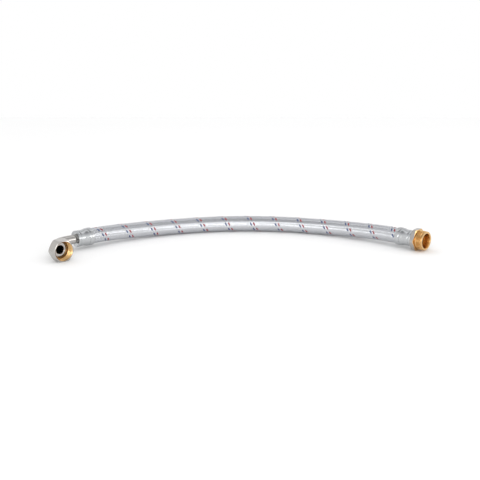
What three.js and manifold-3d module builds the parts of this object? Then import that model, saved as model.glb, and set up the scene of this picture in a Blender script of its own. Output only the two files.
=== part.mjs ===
// Flexible pump hose: a rubber hose in a braided wire sleeve, lying in a shallow arc.
// One end is a bent pipe with a flange and a loose union nut, the other a threaded insert.
// Millimetres, +Z up, resting on the plane z = 0 on the nut, the insert's hexagon and the hose.

import * as THREE from 'three';
import { mergeVertices } from 'three/addons/utils/BufferGeometryUtils.js';
import Module from 'manifold-3d';

const wasm = await Module();
wasm.setup();

// Hose: corner radius of its section, bore, and the braid laid over the rubber
const HOSE_RADIUS = 13.6;
const HOSE_BORE = 19;
const BRAID_THICKNESS = 0.85;
const HOSE_SIDES = 12;
const STEP_IN_DIAMETERS = 1.95;

// The hose's centre line from one ferrule's mouth to the other, as it lies on the floor
const ROUTE = [
  [-261.5, 47.4, 18],
  [-239.4, 64.6, 17.7],
  [-201.8, 88.3, 16.2],
  [-170.1, 105.6, 15],
  [-137, 120.5, 14.2],
  [-102.8, 132.4, 13.7],
  [-67.8, 141.3, 13.65],
  [-32.1, 146.8, 13.65],
  [4.1, 149, 13.65],
  [40.3, 147.7, 13.65],
  [76.1, 142.9, 13.65],
  [111.3, 134.6, 13.7],
  [145.6, 123.1, 14.2],
  [178.7, 108.5, 15],
  [210.5, 91.1, 16.2],
  [247.9, 67.2, 17.7],
  [269.7, 49.6, 18],
];

// Headings of the fittings in degrees about +Z from +X, each away from the hose
const ELBOW_HEADING = 218;
const STRAIGHT_HEADING = -39;

// Ferrules: places along them run from the mouth that the hose enters. The bead and the lip
// stand out from the waist, whose wall lies on the hose.
const FERRULE_LENGTH = 31.5;
const FERRULE_END_WALL = 1.2;
const WAIST_WALL = 0.45;
const WAIST_START = 17.5;
const WAIST_END = 21.5;
const BEAD_HEIGHT = 1.05;
const BEAD_LENGTH = 8.9;
const BEAD_GROOVE_DEPTH = 0.45;
const RING_GROOVE_AT = 26.2;
const RING_GROOVE_DEPTH = 0.5;
const LIP_HEIGHT = 0.4;
const LIP_RECESS = 2.6;
const LIP_CURL = 1.45;

// Barbed tails that the hose is crimped onto
const TAIL_START = 3;
const TAIL_RADIUS = 8;
const TAIL_WALL = 1.2;
const BARB_COUNT = 4;
const BARB_PITCH = 5.4;

// Bent pipe and its flange, from the pipe's own axis before the bend
const NUT_AXIS_FROM_LIP = 55;
const PIPE_BEND_RADIUS = 36;
const FLANGE_FACE_AT = 43;
const FLANGE_THICKNESS = 3;
const FLANGE_RADIUS = 14.5;
const FLANGE_BEVEL = 0.4;
const FLARE_WIDTH = 1.4;
const FLARE_DEPTH = 2;

// One inch pipe thread: crest radius of the male one and of the socket
const MALE_THREAD_RADIUS = 16.62;
const SOCKET_RADIUS = 15.15;

// Union nut
const NUT_ACROSS_FLATS = 36;
const NUT_HEIGHT = 18.5;
const NUT_BACK_WALL = 2.7;
const NUT_HOLE_CLEARANCE = 0.6;
const SOCKET_BEVEL = 1.7;

// Threaded insert, from the ferrule's lip
const COLLAR_FROM_LIP = 1.6;
const COLLAR_ACROSS_FLATS = 36;
const COLLAR_LENGTH = 9;
const RELIEF_WIDTH = 1.4;
const RELIEF_DEPTH = 1.3;
const INSERT_FACE_FROM_LIP = 24.6;
const THREAD_END_BEVEL = 0.9;
const MOUTH_RADIUS = 12.8;
const MOUTH_DEPTH = 18;
const MOUTH_STEP_LENGTH = 3;
const MOUTH_BEVEL = 0.4;

// Clearance between pieces that touch, shape of the hexagons' turned corners, and facets
const SEAT_GAP = 0.3;
const NECK_CLEARANCE = 0.35;
const CORNER_CHAMFER_ANGLE = 30;
const CORNER_CHAMFER_SHARE = 0.97;
const TURNED_SIDES = 40;
const PIPE_SIDES = 24;
const PIPE_STEPS = 36;
const OVERSHOOT = 1;
const FLARE_OVERLAP = 0.3;

// Places that follow from the sizes above
const FERRULE_BORE_RADIUS = HOSE_RADIUS + SEAT_GAP;
const WAIST_RADIUS = FERRULE_BORE_RADIUS + WAIST_WALL;
const BEAD_RADIUS = WAIST_RADIUS + BEAD_HEIGHT;
const LIP_RADIUS = WAIST_RADIUS + LIP_HEIGHT;
const NECK_HOLE_RADIUS = TAIL_RADIUS + NECK_CLEARANCE;
const BARB_RADIUS = HOSE_BORE / 2 - SEAT_GAP;
const TAIL_BORE_RADIUS = TAIL_RADIUS - TAIL_WALL;
const FLARE_RADIUS = TAIL_BORE_RADIUS + FLARE_WIDTH;
const END_WALL_AT = FERRULE_LENGTH - LIP_RECESS - FERRULE_END_WALL;
const HOSE_END_IN_FERRULE = END_WALL_AT - SEAT_GAP;
const NUT_AXIS_AT = FERRULE_LENGTH + NUT_AXIS_FROM_LIP;
const FLANGE_BACK_AT = FLANGE_FACE_AT - FLANGE_THICKNESS;
const NUT_SHOULDER_AT = FLANGE_BACK_AT - SEAT_GAP;
const NUT_BACK_AT = NUT_SHOULDER_AT - NUT_BACK_WALL;
const COLLAR_AT = FERRULE_LENGTH + COLLAR_FROM_LIP;
const THREAD_AT = COLLAR_AT + COLLAR_LENGTH + RELIEF_WIDTH;
const INSERT_FACE_AT = FERRULE_LENGTH + INSERT_FACE_FROM_LIP;

const MATERIALS = {
  rubber: new THREE.MeshStandardMaterial({ color: 0x1d1d1f, roughness: 0.8, metalness: 0 }),
  braid: new THREE.MeshStandardMaterial({ color: 0xc4c7cb, roughness: 0.4, metalness: 0.9 }),
  steel: new THREE.MeshStandardMaterial({ color: 0xc9cbcd, roughness: 0.25, metalness: 1 }),
  nickel: new THREE.MeshStandardMaterial({ color: 0xc8c3ba, roughness: 0.25, metalness: 1 }),
  brass: new THREE.MeshStandardMaterial({ color: 0xc79a4e, roughness: 0.3, metalness: 1 }),
};

// A closed geometry as a solid that can be joined and cut
function solidOf(geometry) {
  geometry.deleteAttribute('normal');
  geometry.deleteAttribute('uv');
  const merged = mergeVertices(geometry, 1e-4);
  return new wasm.Manifold(new wasm.Mesh({
    numProp: 3,
    vertProperties: new Float32Array(merged.attributes.position.array),
    triVerts: new Uint32Array(merged.index.array),
  }));
}

function namedMesh(name, solid, material) {
  const { vertProperties, triVerts } = solid.getMesh();
  const geometry = new THREE.BufferGeometry();
  geometry.setAttribute('position', new THREE.BufferAttribute(vertProperties, 3));
  geometry.setIndex(new THREE.BufferAttribute(triVerts, 1));
  geometry.computeVertexNormals();
  const mesh = new THREE.Mesh(geometry, material);
  mesh.name = name;
  return mesh;
}

// Turns a profile of [place along X, radius] points about the X axis. The profile starts and
// ends on the axis, or closes on itself when its piece is hollow.
function turned(profile) {
  const points = profile.map(([along, radius]) => new THREE.Vector2(radius, along));
  if (points[0].x > 0) {
    points.push(points[0].clone());
  }
  const geometry = new THREE.LatheGeometry(points, TURNED_SIDES);
  geometry.rotateZ(-Math.PI / 2);
  return solidOf(geometry);
}

// A round bar along X from one place to another, for cutting bores
function drill(from, to, radius) {
  return turned([[from, 0], [from, radius], [to, radius], [to, 0]]);
}

// A hexagon bar along X lying on a flat, with its corners turned away at both ends
function chamferedHexagon(from, length, acrossFlats) {
  const corner = acrossFlats / Math.sqrt(3);
  const bar = new THREE.CylinderGeometry(corner, corner, length, 6);
  bar.rotateZ(-Math.PI / 2);
  bar.rotateX(Math.PI / 2);
  bar.translate(from + length / 2, 0, 0);
  const endRadius = (acrossFlats / 2) * CORNER_CHAMFER_SHARE;
  const outside = corner + OVERSHOOT;
  const depth = (outside - endRadius) * Math.tan(THREE.MathUtils.degToRad(CORNER_CHAMFER_ANGLE));
  return solidOf(bar).intersect(turned([
    [from, 0],
    [from, endRadius],
    [from + depth, outside],
    [from + length - depth, outside],
    [from + length, endRadius],
    [from + length, 0],
  ]));
}

// The tail's outside: barbs that rise gently from the tip and drop steeply behind
function barbProfile() {
  const points = [[TAIL_START, TAIL_RADIUS]];
  for (let k = 1; k <= BARB_COUNT; k += 1) {
    const end = TAIL_START + k * BARB_PITCH;
    points.push([end - BARB_PITCH / 8, BARB_RADIUS], [end, TAIL_RADIUS]);
  }
  return points;
}

// The hose's centre line, run on straight inside both ferrules
function hoseLine() {
  const free = ROUTE.map((point) => new THREE.Vector3(...point));
  const inFerrule = (mouth, heading) => {
    const turn = THREE.MathUtils.degToRad(heading);
    const outward = new THREE.Vector3(Math.cos(turn), Math.sin(turn), 0);
    return mouth.clone().addScaledVector(outward, HOSE_END_IN_FERRULE);
  };
  return new THREE.CatmullRomCurve3([
    inFerrule(free[0], ELBOW_HEADING),
    ...free,
    inFerrule(free[free.length - 1], STRAIGHT_HEADING),
  ], false, 'centripetal');
}

function addPolygon(path, sides, cornerRadius) {
  for (let k = 0; k < sides; k += 1) {
    const turn = (k * 2 * Math.PI) / sides;
    const corner = [cornerRadius * Math.cos(turn), cornerRadius * Math.sin(turn)];
    if (k === 0) path.moveTo(...corner);
    else path.lineTo(...corner);
  }
  path.closePath();
  return path;
}

// One layer of the hose. Both layers take the same line and steps, so their faces run parallel.
function hoseLayer(outerCorner, innerCorner) {
  const section = addPolygon(new THREE.Shape(), HOSE_SIDES, outerCorner);
  section.holes.push(addPolygon(new THREE.Path(), HOSE_SIDES, innerCorner));
  const line = hoseLine();
  const steps = Math.round(line.getLength() / (STEP_IN_DIAMETERS * 2 * HOSE_RADIUS));
  return solidOf(new THREE.ExtrudeGeometry(section, { steps, extrudePath: line, curveSegments: 1 }));
}

function hoseLiner() {
  const outerCorner = HOSE_RADIUS - BRAID_THICKNESS - SEAT_GAP;
  const boreCorner = HOSE_BORE / 2 / Math.cos(Math.PI / HOSE_SIDES);
  return namedMesh('hose_liner', hoseLayer(outerCorner, boreCorner), MATERIALS.rubber);
}

function wireBraid() {
  const solid = hoseLayer(HOSE_RADIUS, HOSE_RADIUS - BRAID_THICKNESS);
  return namedMesh('wire_braid', solid, MATERIALS.braid);
}

// A pressed sleeve: a bead at the mouth, a groove, a barrel crimped to a waist, a ring groove
// and a lip that curls in to the recess where the fitting's neck enters
function ferrule(name) {
  const lipAt = FERRULE_LENGTH;
  const curlRadius = LIP_RADIUS - LIP_CURL;
  return namedMesh(name, turned([
    [0, WAIST_RADIUS],
    [0.5, BEAD_RADIUS - 0.5],
    [1.4, BEAD_RADIUS - 0.1],
    [2.6, BEAD_RADIUS],
    [BEAD_LENGTH - 1.5, BEAD_RADIUS],
    [BEAD_LENGTH - 0.5, BEAD_RADIUS - 0.2],
    [BEAD_LENGTH, BEAD_RADIUS - BEAD_GROOVE_DEPTH],
    [BEAD_LENGTH + 0.5, BEAD_RADIUS - 0.2],
    [BEAD_LENGTH + 1.5, BEAD_RADIUS - 0.05],
    [WAIST_START - 4, BEAD_RADIUS - BEAD_HEIGHT / 3],
    [WAIST_START, WAIST_RADIUS],
    [WAIST_END, WAIST_RADIUS],
    [RING_GROOVE_AT - 0.6, WAIST_RADIUS + 0.2],
    [RING_GROOVE_AT - 0.2, LIP_RADIUS - RING_GROOVE_DEPTH],
    [RING_GROOVE_AT + 0.3, LIP_RADIUS - RING_GROOVE_DEPTH],
    [RING_GROOVE_AT + 0.7, LIP_RADIUS - 0.15],
    [lipAt - 1.3, LIP_RADIUS],
    [lipAt - 0.4, LIP_RADIUS - 0.25],
    [lipAt, LIP_RADIUS - 0.75],
    [lipAt, curlRadius],
    [lipAt - 0.9, curlRadius - 0.7],
    [lipAt - 2.1, curlRadius - 2.3],
    [lipAt - LIP_RECESS + 0.1, NECK_HOLE_RADIUS + 0.85],
    [lipAt - LIP_RECESS, NECK_HOLE_RADIUS],
    [END_WALL_AT, NECK_HOLE_RADIUS],
    [END_WALL_AT, FERRULE_BORE_RADIUS],
    [0, FERRULE_BORE_RADIUS],
  ]), MATERIALS.steel);
}

// The bent pipe's centre line: along +X, a quarter turn, then along +Y to the flange
class ElbowLine extends THREE.Curve {
  constructor(startX, endY) {
    super();
    this.startX = startX;
    this.legIn = NUT_AXIS_AT - PIPE_BEND_RADIUS - startX;
    this.bend = (PIPE_BEND_RADIUS * Math.PI) / 2;
    this.legOut = endY - PIPE_BEND_RADIUS;
  }

  getPoint(t, target = new THREE.Vector3()) {
    const travelled = t * (this.legIn + this.bend + this.legOut);
    const past = travelled - this.legIn;
    if (past <= 0) return target.set(this.startX + travelled, 0, 0);
    if (past >= this.bend) return target.set(NUT_AXIS_AT, PIPE_BEND_RADIUS + past - this.bend, 0);
    const turn = past / PIPE_BEND_RADIUS;
    return target.set(
      NUT_AXIS_AT - PIPE_BEND_RADIUS * (1 - Math.sin(turn)),
      PIPE_BEND_RADIUS * (1 - Math.cos(turn)),
      0,
    );
  }
}

function bentBar(startX, endY, radius) {
  const section = addPolygon(new THREE.Shape(), PIPE_SIDES, radius);
  const extrudePath = new ElbowLine(startX, endY);
  return solidOf(new THREE.ExtrudeGeometry(section, { steps: PIPE_STEPS, extrudePath, curveSegments: 1 }));
}

// Stands a solid built along +X on the nut's axis, facing out of the bent pipe
function onNutAxis(solid) {
  return solid.rotate([0, 0, 90]).translate([NUT_AXIS_AT, 0, 0]);
}

// One bent tube: barbed tail in the hose, a wide quarter bend and a flange at its end, whose
// face seats on the mating fitting
function elbowPipe() {
  const tailEnd = TAIL_START + BARB_COUNT * BARB_PITCH;
  const tail = turned([[TAIL_START, 0], ...barbProfile(), [tailEnd, 0]]);
  const flange = turned([
    [FLANGE_BACK_AT, 0],
    [FLANGE_BACK_AT, FLANGE_RADIUS - FLANGE_BEVEL],
    [FLANGE_BACK_AT + FLANGE_BEVEL, FLANGE_RADIUS],
    [FLANGE_FACE_AT - FLANGE_BEVEL, FLANGE_RADIUS],
    [FLANGE_FACE_AT, FLANGE_RADIUS - FLANGE_BEVEL],
    [FLANGE_FACE_AT, 0],
  ]);
  const flare = turned([
    [FLANGE_FACE_AT - FLARE_DEPTH, 0],
    [FLANGE_FACE_AT - FLARE_DEPTH, TAIL_BORE_RADIUS - FLARE_OVERLAP],
    [FLANGE_FACE_AT, FLARE_RADIUS],
    [FLANGE_FACE_AT + OVERSHOOT, FLARE_RADIUS],
    [FLANGE_FACE_AT + OVERSHOOT, 0],
  ]);
  const solid = bentBar(TAIL_START, FLANGE_FACE_AT - FLANGE_THICKNESS / 2, TAIL_RADIUS)
    .add(tail)
    .add(onNutAxis(flange))
    .subtract(bentBar(TAIL_START - OVERSHOOT, FLANGE_FACE_AT + OVERSHOOT, TAIL_BORE_RADIUS))
    .subtract(onNutAxis(flare));
  return namedMesh('elbow_pipe', solid, MATERIALS.nickel);
}

// The loose nut: a threaded socket and a back wall that draws the flange up
function unionNut() {
  const front = NUT_BACK_AT + NUT_HEIGHT;
  const socket = turned([
    [NUT_SHOULDER_AT, 0],
    [NUT_SHOULDER_AT, SOCKET_RADIUS],
    [front - SOCKET_BEVEL, SOCKET_RADIUS],
    [front, SOCKET_RADIUS + SOCKET_BEVEL],
    [front + OVERSHOOT, SOCKET_RADIUS + SOCKET_BEVEL],
    [front + OVERSHOOT, 0],
  ]);
  const hole = drill(NUT_BACK_AT - OVERSHOOT, front, TAIL_RADIUS + NUT_HOLE_CLEARANCE);
  const solid = chamferedHexagon(NUT_BACK_AT, NUT_HEIGHT, NUT_ACROSS_FLATS)
    .subtract(socket)
    .subtract(hole);
  return namedMesh('union_nut', onNutAxis(solid), MATERIALS.nickel);
}

// The straight end, one turned piece: barbed tail, neck, hexagon collar, relief, threaded end
// and a wide mouth that narrows to the tail's bore
function maleInsert() {
  const shank = turned([
    [TAIL_START, 0],
    ...barbProfile(),
    [COLLAR_AT + OVERSHOOT, TAIL_RADIUS],
    [COLLAR_AT + OVERSHOOT, 0],
  ]);
  const threadedEnd = turned([
    [COLLAR_AT + OVERSHOOT, 0],
    [COLLAR_AT + OVERSHOOT, MALE_THREAD_RADIUS - RELIEF_DEPTH],
    [THREAD_AT, MALE_THREAD_RADIUS - RELIEF_DEPTH],
    [THREAD_AT + RELIEF_DEPTH / 2, MALE_THREAD_RADIUS],
    [INSERT_FACE_AT - THREAD_END_BEVEL, MALE_THREAD_RADIUS],
    [INSERT_FACE_AT, MALE_THREAD_RADIUS - THREAD_END_BEVEL],
    [INSERT_FACE_AT, 0],
  ]);
  const mouthBottom = INSERT_FACE_AT - MOUTH_DEPTH;
  const bore = turned([
    [TAIL_START - OVERSHOOT, 0],
    [TAIL_START - OVERSHOOT, TAIL_BORE_RADIUS],
    [mouthBottom - MOUTH_STEP_LENGTH, TAIL_BORE_RADIUS],
    [mouthBottom, MOUTH_RADIUS],
    [INSERT_FACE_AT - MOUTH_BEVEL, MOUTH_RADIUS],
    [INSERT_FACE_AT + OVERSHOOT, MOUTH_RADIUS + MOUTH_BEVEL + OVERSHOOT],
    [INSERT_FACE_AT + OVERSHOOT, 0],
  ]);
  const solid = chamferedHexagon(COLLAR_AT, COLLAR_LENGTH, COLLAR_ACROSS_FLATS)
    .add(shank)
    .add(threadedEnd)
    .subtract(bore);
  return namedMesh('male_insert', solid, MATERIALS.brass);
}

// A fitting is built along +X from its ferrule's mouth and then turned to its heading
function fittingAt(mouth, heading, pieces) {
  const group = new THREE.Group();
  group.position.set(...mouth);
  group.rotation.z = THREE.MathUtils.degToRad(heading);
  group.add(...pieces);
  return group;
}

const pumpHose = new THREE.Group();
pumpHose.add(
  hoseLiner(),
  wireBraid(),
  fittingAt(ROUTE[0], ELBOW_HEADING, [ferrule('elbow_ferrule'), elbowPipe(), unionNut()]),
  fittingAt(ROUTE[ROUTE.length - 1], STRAIGHT_HEADING, [ferrule('straight_ferrule'), maleInsert()]),
);

export default pumpHose;
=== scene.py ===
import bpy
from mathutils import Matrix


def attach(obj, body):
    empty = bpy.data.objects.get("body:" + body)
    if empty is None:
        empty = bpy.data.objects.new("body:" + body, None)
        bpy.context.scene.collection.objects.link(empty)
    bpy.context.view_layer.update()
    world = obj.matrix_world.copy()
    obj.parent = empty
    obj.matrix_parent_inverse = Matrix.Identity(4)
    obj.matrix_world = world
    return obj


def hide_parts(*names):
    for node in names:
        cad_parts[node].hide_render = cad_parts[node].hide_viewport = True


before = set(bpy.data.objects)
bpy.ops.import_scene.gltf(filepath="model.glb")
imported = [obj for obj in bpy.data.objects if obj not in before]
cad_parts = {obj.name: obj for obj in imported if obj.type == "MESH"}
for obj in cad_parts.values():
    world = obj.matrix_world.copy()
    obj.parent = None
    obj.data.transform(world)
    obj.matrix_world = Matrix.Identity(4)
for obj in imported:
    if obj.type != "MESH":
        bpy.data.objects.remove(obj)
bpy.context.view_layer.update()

import math

import bpy
import numpy as np
from mathutils import Vector

# Camera, low and far in front of the hose, so that the whole arc is seen from a little above.
view_height = math.radians(15.5)
view_distance = 2.269
view_target = Vector((-0.004, 0.0322, 0.015))
camera = bpy.data.objects.new("camera", bpy.data.cameras.new("camera"))
camera.data.lens = 99.1
camera.data.clip_end = 50
camera.location = view_target + view_distance * Vector((0, -math.cos(view_height), math.sin(view_height)))
camera.rotation_euler = (math.pi / 2 - view_height, 0, 0)
bpy.context.scene.collection.objects.link(camera)
bpy.context.scene.camera = camera
bpy.context.scene.view_settings.view_transform = "Standard"


# Floor: a plain pale sheet that only holds the shadow. It isn't part of the hose.
def finish(name, colour, roughness, metallic=1.0):
    made = bpy.data.materials.new(name)
    made.use_nodes = True
    shader = made.node_tree.nodes["Principled BSDF"]
    shader.inputs["Base Color"].default_value = (*colour, 1)
    shader.inputs["Roughness"].default_value = roughness
    shader.inputs["Metallic"].default_value = metallic
    return made


bpy.ops.mesh.primitive_plane_add(size=2.4, location=(0, 0.1, -0.0003))
floor = bpy.context.object
floor.name = "floor"
floor.data.materials.append(finish("floor_paper", (0.93, 0.93, 0.93), 0.9, 0))


# Hose centre line: the route's points from the inner end in the elbow ferrule to the inner end in the
# straight ferrule, joined by the same smooth curve as the solids and measured off by length.
def heading(degrees):
    return Vector((math.cos(math.radians(degrees)), math.sin(math.radians(degrees)), 0))


elbow_mouth = Vector((-0.2615, 0.0474, 0.018))
elbow_out = heading(218)
insert_mouth = Vector((0.2697, 0.0496, 0.018))
insert_out = heading(-39)
hose_inside = 0.0274
crimp_start, crimp_full, crimp_squeeze = 0.009, 0.016, 0.0004
route = [
    elbow_mouth + hose_inside * elbow_out,
    elbow_mouth,
    (-0.2394, 0.0646, 0.0177),
    (-0.2018, 0.0883, 0.0162),
    (-0.1701, 0.1056, 0.015),
    (-0.137, 0.1205, 0.0142),
    (-0.1028, 0.1324, 0.0137),
    (-0.0678, 0.1413, 0.01365),
    (-0.0321, 0.1468, 0.01365),
    (0.0041, 0.149, 0.01365),
    (0.0403, 0.1477, 0.01365),
    (0.0761, 0.1429, 0.01365),
    (0.1113, 0.1346, 0.0137),
    (0.1456, 0.1231, 0.0142),
    (0.1787, 0.1085, 0.015),
    (0.2105, 0.0911, 0.0162),
    (0.2479, 0.0672, 0.0177),
    insert_mouth,
    insert_mouth + hose_inside * insert_out,
]


def smooth_line(points, per_span=40):
    points = np.array([tuple(p) for p in points])
    ends = [2 * points[0] - points[1], *points, 2 * points[-1] - points[-2]]
    line = []
    for p0, p1, p2, p3 in zip(ends, ends[1:], ends[2:], ends[3:]):
        d0, d1, d2 = (np.linalg.norm(b - a) ** 0.5 for a, b in ((p0, p1), (p1, p2), (p2, p3)))
        m1 = ((p1 - p0) / d0 - (p2 - p0) / (d0 + d1) + (p2 - p1) / d1) * d1
        m2 = ((p2 - p1) / d1 - (p3 - p1) / (d1 + d2) + (p3 - p2) / d2) * d1
        for t in np.arange(per_span) / per_span:
            line.append(
                p1 + m1 * t + (3 * (p2 - p1) - 2 * m1 - m2) * t**2 + (2 * (p1 - p2) + m1 + m2) * t**3
            )
    line.append(points[-1])
    return np.array(line)


centre = smooth_line(route)
along = np.concatenate([[0], np.cumsum(np.linalg.norm(np.diff(centre, axis=0), axis=1))])
hose_length = float(along[-1])
tangent = np.gradient(centre, axis=0)
tangent /= np.linalg.norm(tangent, axis=1)[:, None]
front = np.cross(tangent, (0, 0, 1))
front /= np.linalg.norm(front, axis=1)[:, None]
top = np.cross(front, tangent)


def along_hose(s, field):
    return np.stack([np.interp(s, along, field[:, k]) for k in range(3)], -1)


def on_hose(s, angle, radius):
    """Points s along the hose, at an angle round it (0 to the front, 90 degrees up) and a radius."""
    in_ferrule = np.maximum(hose_inside - s, s - hose_length + hose_inside)
    radius = radius - np.interp(in_ferrule, (crimp_start, crimp_full), (0, crimp_squeeze))
    outward = np.cos(angle)[..., None] * along_hose(s, front) + np.sin(angle)[..., None] * along_hose(s, top)
    return along_hose(s, centre) + radius[..., None] * outward


# Rubber liner: black tube that shows only through the gaps of the braid. It replaces the plain liner.
def piece(name, points, faces, body, materials, slots=None, smooth_angle=None):
    mesh = bpy.data.meshes.new(name)
    mesh.from_pydata([tuple(map(float, p)) for p in points], [], faces)
    for material in materials:
        mesh.materials.append(material)
    if slots is not None:
        mesh.polygons.foreach_set("material_index", slots)
    mesh.polygons.foreach_set("use_smooth", [True] * len(mesh.polygons))
    if smooth_angle:
        mesh.set_sharp_from_angle(angle=math.radians(smooth_angle))
    made = bpy.data.objects.new(name, mesh)
    bpy.context.scene.collection.objects.link(made)
    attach(made, body)
    return made


def wrapped(rows, columns, closed=True):
    """Faces of a grid of points, rows along and columns round, that closes on itself round."""
    last = columns if closed else columns - 1
    faces = []
    for i in range(rows - 1):
        for j in range(last):
            here, beside = i * columns + j, i * columns + (j + 1) % columns
            faces.append((here, beside, beside + columns, here + columns))
    return faces


liner_rows, liner_sides = 200, 24
liner_radius, liner_inset = 0.0126, 0.0002
s_grid, a_grid = np.meshgrid(
    np.linspace(liner_inset, hose_length - liner_inset, liner_rows),
    np.arange(liner_sides) * 2 * math.pi / liner_sides,
    indexing="ij",
)
liner = piece(
    "rubber_liner",
    on_hose(s_grid, a_grid, np.full_like(s_grid, liner_radius)).reshape(-1, 3),
    wrapped(liner_rows, liner_sides),
    "hose",
    [finish("black_rubber", (0.02, 0.02, 0.022), 0.7, 0)],
)
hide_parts("hose_liner")

# Wire braid: two sets of sixteen flat strands of bright stainless wires, laid one over two and under two
# of the other set. Each strand is a ribbon of eight wires; over and under change at fixed angles.
strands_each_way = 16
wires_in_strand = 8
strand_width = 0.00234
strand_places = (-0.5, -0.36, 0.0, 0.36, 0.5)
wire_crown, yarn_crown = 0.0001, 0.00012
shoulder_drop, edge_drop = 0.00001, 0.00016
weave_radius = 0.01324
weave_height = 0.00024
float_angle = math.radians(10)
crossing = math.pi / strands_each_way
red_strand, blue_strand = (-1, 0), (-1, 2)


def turns(s):
    """Turns of a strand round the hose up to s: one in 46 mm, a little slower towards the ends."""
    u = 2 * s / hose_length - 1
    return -0.1076 * u**3 + 0.1437 * u**2 + 6.8757 * u + 0.5922


table_s = np.linspace(0, hose_length, 2000)
table_turns = turns(table_s)


def strand(direction, number, crown):
    """One strand as rows of five points across, a row at each crossing, and the length along it."""
    start = number / strands_each_way
    if direction > 0:
        start += (2 * float_angle + crossing) / (2 * math.pi)
    reach = [direction * 2 * math.pi * (turn + start) for turn in (table_turns[0], table_turns[-1])]
    first, last = sorted((angle - float_angle) / crossing - 0.5 for angle in reach)
    place = np.arange(math.ceil(first), math.floor(last) + 1)[::direction]
    angle = float_angle + (place + 0.5) * crossing
    s = np.interp(direction * angle / (2 * math.pi) - start, table_turns, table_s)
    over = np.where((place + 1) % 4 < 2, -direction, direction)
    slope = direction * 2 * math.pi * np.gradient(np.interp(s, table_s, table_turns), s)
    stretch = np.sqrt(1 + (weave_radius * slope) ** 2)
    points = []
    rises = (-edge_drop, -shoulder_drop, crown, -shoulder_drop, -edge_drop)
    for across, rise in zip(strand_places, rises):
        points.append(
            on_hose(
                s - weave_radius * slope * across * strand_width / stretch,
                angle + across * strand_width / (stretch * weave_radius),
                weave_radius + over * weave_height + rise,
            )
        )
    return np.stack(points, 1), s * stretch


def ribbon_piece(name, members, crown, material):
    points, faces, uvs = [], [], []
    for direction, number in members:
        rows, run = strand(direction, number, crown)
        base = len(points)
        grid = wrapped(len(rows), len(strand_places), closed=False)
        if direction > 0:
            grid = [face[::-1] for face in grid]
        faces += [tuple(base + k for k in face) for face in grid]
        points += list(rows.reshape(-1, 3))
        for r in run:
            uvs += [(place + 0.5, r * 1000) for place in strand_places]
    made = piece(name, points, faces, "hose", [material])
    layer = made.data.uv_layers.new(name="strand")
    corners = np.zeros(len(made.data.loops), dtype=int)
    made.data.loops.foreach_get("vertex_index", corners)
    layer.data.foreach_set("uv", np.array(uvs)[corners].ravel())
    return made


def wire_finish(name, colour, roughness, metallic, wires, depth):
    made = finish(name, colour, roughness, metallic)
    nodes, links = made.node_tree.nodes, made.node_tree.links
    place = nodes.new("ShaderNodeUVMap")
    place.uv_map = "strand"
    ridges = nodes.new("ShaderNodeTexWave")
    ridges.bands_direction = "X"
    ridges.inputs["Scale"].default_value = wires * math.pi / 10
    bump = nodes.new("ShaderNodeBump")
    bump.inputs["Strength"].default_value = depth
    bump.inputs["Distance"].default_value = 0.0001
    links.new(place.outputs["UV"], ridges.inputs["Vector"])
    links.new(ridges.outputs["Fac"], bump.inputs["Height"])
    links.new(bump.outputs["Normal"], nodes["Principled BSDF"].inputs["Normal"])
    return made


bright_wire = wire_finish("bright_braid_wire", (0.63, 0.64, 0.665), 0.19, 1.0, wires_in_strand, 0.4)
every = [(way, k) for way in (-1, 1) for k in range(strands_each_way)]
plain = [member for member in every if member not in (red_strand, blue_strand)]
braid = ribbon_piece("wire_braid_strands", plain, wire_crown, bright_wire)
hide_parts("wire_braid")

# Tracer yarns: one red and one blue strand of the braid are coloured yarn instead of wire, two places
# apart, which show as dashes where they lie over the other set.
yarn_plies = 5
red_finish = wire_finish("red_yarn", (0.30, 0.04, 0.05), 0.7, 0, yarn_plies, 0.5)
blue_finish = wire_finish("blue_yarn", (0.06, 0.09, 0.20), 0.7, 0, yarn_plies, 0.5)
red_yarn = ribbon_piece("red_tracer", [red_strand], yarn_crown, red_finish)
blue_yarn = ribbon_piece("blue_tracer", [blue_strand], yarn_crown, blue_finish)


# Ferrules: two bright pressed sleeves with a bead at the hose's end, a groove, a crimped waist, a ring
# groove and a lip rolled in to a recess. Each is turned from one profile of (place, radius) in mm.
def straight(origin, direction):
    """Frame of a straight axis: for a place in metres, the point, a level side and up."""
    level = Vector((0, 0, 1)).cross(direction)
    return lambda u: (origin + direction * u, level, Vector((0, 0, 1)))


def turned(name, profile, axis, body, materials, slots=None, sides=96, smooth_angle=35):
    """Piece round an axis. A profile's entry is (place, radius) in mm, or a function of the angle for it."""
    points = []
    for entry in profile:
        for j in range(sides):
            theta = j * 2 * math.pi / sides
            place, radius = entry(theta) if callable(entry) else entry
            middle, level, up = axis(place / 1000)
            points.append(middle + (radius / 1000) * (math.cos(theta) * level + math.sin(theta) * up))
    faces = wrapped(len(profile), sides)
    if slots is not None:
        slots = [slot for slot in slots for _ in range(sides)]
    return piece(name, points, [face[::-1] for face in faces], body, materials, slots, smooth_angle)


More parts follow.
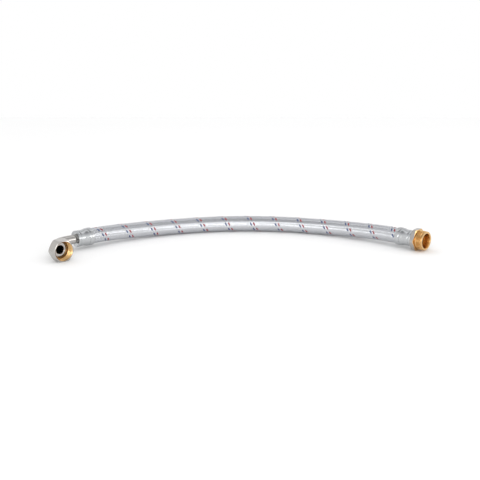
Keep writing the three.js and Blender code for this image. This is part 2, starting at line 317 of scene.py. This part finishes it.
ferrule_profile = [
    (4.0, 13.95), (0.3, 13.95), (0.0, 14.25), (0.2, 14.7), (0.7, 15.1), (1.4, 15.35), (2.6, 15.5),
    (4.2, 15.55), (6.2, 15.5), (7.4, 15.42), (8.1, 15.2), (8.5, 14.85), (8.9, 14.55), (9.3, 14.75),
    (9.8, 15.05), (10.4, 15.16), (11.6, 15.05), (13.2, 14.72), (14.8, 14.32), (16.2, 14.05),
    (17.5, 13.92), (19.5, 13.88), (21.5, 13.9), (23.6, 13.98), (25.2, 14.06), (25.6, 13.9),
    (25.9, 13.6), (26.2, 13.45), (26.5, 13.6), (26.8, 13.95), (27.3, 14.2), (28.6, 14.3), (30.0, 14.3),
    (30.7, 14.2), (31.2, 13.98), (31.45, 13.65), (31.5, 13.3), (31.35, 12.95), (30.9, 12.5), (30.3, 11.9),
    (29.8, 11.2), (29.3, 10.2), (29.05, 9.4), (28.95, 8.4), (28.2, 8.4),
]
pressed_steel = finish("pressed_steel", (0.53, 0.54, 0.55), 0.23)
elbow_axis = straight(elbow_mouth, elbow_out)
insert_axis = straight(insert_mouth, insert_out)
elbow_sleeve = turned("elbow_ferrule_sleeve", ferrule_profile, elbow_axis, "hose", [pressed_steel])
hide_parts("elbow_ferrule")
insert_sleeve = turned("straight_ferrule_sleeve", ferrule_profile, insert_axis, "hose", [pressed_steel])
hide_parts("straight_ferrule")

# Bent pipe: one nickel-plated tube, out of the ferrule, round a wide quarter bend and into a flange with
# a countersunk mouth. Its axis is followed by length from the ferrule's mouth.
bend_radius = 0.036
ferrule_length, nut_axis_from_lip = 0.0315, 0.055
bend_start = ferrule_length + nut_axis_from_lip - bend_radius
bend_length = bend_radius * math.pi / 2
nut_out = Vector((-elbow_out.y, elbow_out.x, 0))


def bent(u):
    turn = min(max((u - bend_start) / bend_radius, 0), math.pi / 2)
    before = min(u, bend_start)
    after = max(u - bend_start - bend_length, 0)
    point = (
        elbow_mouth
        + elbow_out * (before + bend_radius * math.sin(turn))
        + nut_out * (bend_radius * (1 - math.cos(turn)) + after)
    )
    direction = elbow_out * math.cos(turn) + nut_out * math.sin(turn)
    return point, Vector((0, 0, 1)).cross(direction), Vector((0, 0, 1))


tail_start, tail_radius, tail_bore, after_bend = 28.0, 8.0, 6.8, 0.007
flange_face = (bend_start + bend_length + after_bend) * 1000
flange_back = flange_face - 3.0
bend_places = [tail_start + (flange_back - tail_start) * k / 48 for k in range(49)]
pipe_profile = [(u, tail_radius) for u in bend_places[:-1]]
pipe_profile += [
    (flange_back - 0.6, 8.05), (flange_back - 0.15, 8.3), (flange_back, 8.8), (flange_back, 14.0),
    (flange_back + 0.15, 14.35), (flange_back + 0.5, 14.5), (flange_face - 0.5, 14.5),
    (flange_face - 0.15, 14.35), (flange_face, 14.0), (flange_face, 8.4), (flange_face - 0.1, 8.0),
    (flange_face - 0.5, 7.6), (flange_face - 1.3, 7.1), (flange_face - 2.1, tail_bore),
]
pipe_profile += [(u, tail_bore) for u in bend_places[-2::-2]]
nickel = finish("nickel_plate", (0.47, 0.45, 0.43), 0.15)
pipe = turned("bent_pipe", pipe_profile, bent, "hose", [nickel], sides=64)
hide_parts("elbow_pipe")

# Union nut: a hexagon that lies on a flat, with rounded corners that are turned away at both ends. Its
# outside is nickel plated; the threaded socket was cut after plating and is bare brass.
across_flats = 36.0
corner_share, corner_angle = 0.95, math.radians(30)


def hex_edge(place, inward, end_radius):
    """The line where a hexagon's side meets the cone that turns its corners away."""

    def edge(theta):
        side = (across_flats / 2) / math.cos(theta % (math.pi / 3) - math.pi / 6)
        radius = max(min(side, corner_share * across_flats / math.sqrt(3)), end_radius)
        return place + inward * (radius - end_radius) * math.tan(corner_angle), radius

    return edge


def thread(start, end, crest, root, pitch=2.309, hand=1):
    """Rows of a pipe thread's surface: rounded crests and roots that run out at both ends."""
    steps = 10
    count = int((end - start) / pitch * steps)
    rows = []
    for k in range(count + 1):
        place = start + (end - start) * k / count

        def row(theta, place=place):
            wave = 0.5 + 0.5 * math.cos(2 * math.pi * (place / pitch - hand * theta / (2 * math.pi)))
            wave = min(max(1.25 * (wave - 0.5) + 0.5, 0), 1)
            fade = min((place - start) / (0.6 * pitch), (end - place) / (0.6 * pitch), 1)
            return place, root + (crest - root) * wave * max(fade, 0)

        rows.append(row)
    return rows


nut_origin = elbow_mouth + elbow_out * (ferrule_length + nut_axis_from_lip)
nut_axis = straight(nut_origin, nut_out)
nut_back, nut_front, nut_shoulder = 37.0, 55.5, 39.7
nut_profile = [
    (nut_shoulder, 8.6), (nut_back, 8.6), (nut_back, 17.2),
    hex_edge(nut_back, 1, 17.2), hex_edge(nut_front, -1, 17.3), (nut_front, 17.3),
    (nut_front, 16.7), (nut_front - 1.5, 15.2),
]
nut_profile += thread(nut_shoulder + 3.2, nut_front - 1.55, 16.4, 15.15)[::-1]
nut_profile += [(nut_shoulder + 2.8, 15.3), (nut_shoulder, 15.3), (nut_shoulder, 8.6)]
nut_slots = [0] * 6 + [1] * (len(nut_profile) - 7)
bare_brass = finish("bare_brass", (0.70, 0.45, 0.20), 0.24)
nut = turned("union_nut_body", nut_profile, nut_axis, "union_nut", [nickel, bare_brass], nut_slots)
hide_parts("union_nut")

# Threaded insert: one turned piece. Its hexagon collar is nickel plated up to the outer bevel; that
# bevel, the one inch pipe thread, the end ring and the wide mouth are bare brass.
collar_back, collar_front, insert_face = 33.1, 42.1, 56.1
mouth_radius = 12.8
insert_profile = [
    (tail_start, tail_radius), (32.4, tail_radius), (33.0, 8.4), (collar_back, 9.0), (collar_back, 17.2),
    hex_edge(collar_back, 1, 17.2), hex_edge(collar_front, -1, 17.1), (collar_front, 17.1),
    (collar_front, 15.3), (collar_front + 1.2, 15.25),
]
insert_profile += thread(collar_front + 1.4, insert_face - 1.5, 16.62, 15.2)
insert_profile += [
    (insert_face - 1.3, 15.6), (insert_face - 1.0, 16.1), (insert_face - 0.4, 16.2), (insert_face, 15.8),
    (insert_face, 13.4), (insert_face - 0.15, 13.05), (insert_face - 0.6, mouth_radius),
    (insert_face - 18.0, mouth_radius), (insert_face - 21.0, tail_bore), (tail_start, tail_bore),
]
insert_slots = [0] * 6 + [1] * (len(insert_profile) - 7)
insert = turned(
    "threaded_insert_body", insert_profile, insert_axis, "hose", [nickel, bare_brass], insert_slots
)
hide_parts("male_insert")

# Light: a white studio. The camera and the metal see a white backdrop up to middle height, and the metal
# sees a grey ceiling over it, a long soft lamp low in front, a faint one high behind and a small one at
# the right.
world = bpy.data.worlds.new("studio")
bpy.context.scene.world = world
world.use_nodes = True
tree = world.node_tree
tree.nodes.clear()


def background(colour, strength):
    made = tree.nodes.new("ShaderNodeBackground")
    made.inputs["Color"].default_value = (*colour, 1)
    made.inputs["Strength"].default_value = strength
    return made


seen = tree.nodes.new("ShaderNodeLightPath")
room_place = tree.nodes.new("ShaderNodeTexCoord")
room_axes = tree.nodes.new("ShaderNodeSeparateXYZ")
room_height = tree.nodes.new("ShaderNodeMapRange")
room_height.inputs["From Min"].default_value = -1
room_height.inputs["From Max"].default_value = 1
room = tree.nodes.new("ShaderNodeValToRGB")
room.color_ramp.elements[0].position = 0.72
room.color_ramp.elements[0].color = (1, 1, 1, 1)
room.color_ramp.elements[1].position = 1.0
room.color_ramp.elements[1].color = (0.36, 0.36, 0.37, 1)
for place, level in ((0.82, 0.86), (0.90, 0.60), (0.95, 0.38)):
    stop = room.color_ramp.elements.new(place)
    stop.color = (level, level * 1.01, level * 1.03, 1)
mirrored = background((1, 1, 1), 1.0)
white = background((1, 1, 1), 1.0)
not_mirrored = tree.nodes.new("ShaderNodeMixShader")
not_seen = tree.nodes.new("ShaderNodeMixShader")
output = tree.nodes.new("ShaderNodeOutputWorld")
tree.links.new(room_place.outputs["Generated"], room_axes.inputs["Vector"])
tree.links.new(room_axes.outputs["Z"], room_height.inputs["Value"])
tree.links.new(room_height.outputs["Result"], room.inputs["Fac"])
tree.links.new(room.outputs["Color"], mirrored.inputs["Color"])
tree.links.new(seen.outputs["Is Glossy Ray"], not_mirrored.inputs["Fac"])
tree.links.new(white.outputs["Background"], not_mirrored.inputs[1])
tree.links.new(mirrored.outputs["Background"], not_mirrored.inputs[2])
tree.links.new(seen.outputs["Is Camera Ray"], not_seen.inputs["Fac"])
tree.links.new(not_mirrored.outputs["Shader"], not_seen.inputs[1])
tree.links.new(white.outputs["Background"], not_seen.inputs[2])
tree.links.new(not_seen.outputs["Shader"], output.inputs["Surface"])


def soft_lamp(name, location, target, size, power):
    lamp = bpy.data.objects.new(name, bpy.data.lights.new(name, "AREA"))
    lamp.data.shape = "RECTANGLE"
    lamp.data.size, lamp.data.size_y = size
    lamp.data.energy = power
    lamp.location = location
    lamp.visible_camera = False
    lamp.rotation_euler = (Vector(target) - Vector(location)).to_track_quat("-Z", "Y").to_euler()
    bpy.context.scene.collection.objects.link(lamp)


soft_lamp("high_softbox", (0.0, 0.6, 1.5), (0, 0.08, 0), (1.8, 0.6), 2.2)
soft_lamp("front_softbox", (0.0, -2.5, 0.5), (0, 0.05, 0), (3.6, 0.9), 23)
soft_lamp("right_softbox", (2.4, -0.6, 0.55), (-0.2, 0, 0), (1.2, 0.6), 6)
